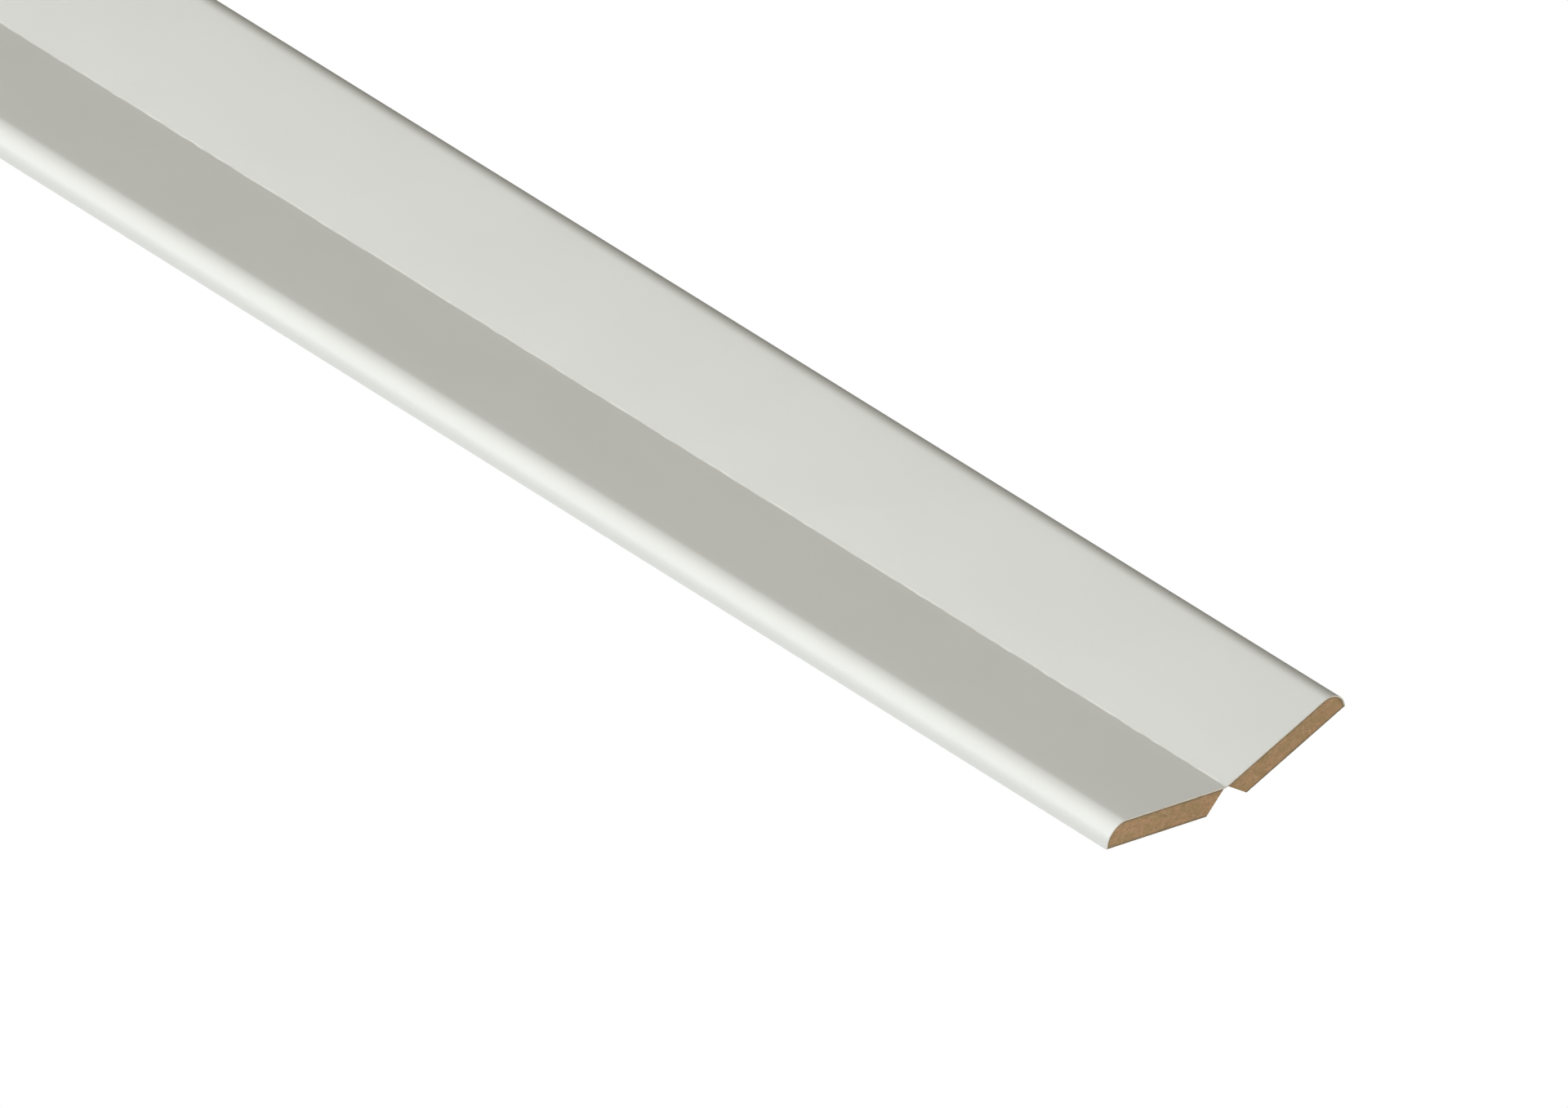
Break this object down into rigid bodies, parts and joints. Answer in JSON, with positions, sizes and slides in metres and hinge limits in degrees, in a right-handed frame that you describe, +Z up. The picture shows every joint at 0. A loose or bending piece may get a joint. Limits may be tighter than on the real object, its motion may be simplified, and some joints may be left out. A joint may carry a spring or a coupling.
{
  "type": "folding corner moulding",
  "caption": "Folding corner moulding: slim fibreboard strips with rounded outer edges, joined by white foil over a back groove, so that the strip folds into a corner.",
  "frame": {"origin": "on the floor under the middle of the fold, half-way along the length", "axes": "+Y along the moulding, +X across it to the leaf that folds, +Z up from the backs to the foil side"},
  "size_m": [0.0606, 0.36, 0.0106],
  "materials": {
    "left_board": "matte",
    "right_board": "matte",
    "foil": "satin"
  },
  "bodies": {
    "left_leaf": {"left_board": "left_board", "foil": "foil"},
    "right_leaf": {"right_board": "right_board"}
  },
  "joints": [
    {"name": "fold", "type": "hinge", "parent": "left_leaf", "child": "right_leaf", "pos_m": [0, 0, 0.00425], "axis": [0, -1, 0], "range_deg": [-99, 150], "deforming": ["foil"]}
  ]
}
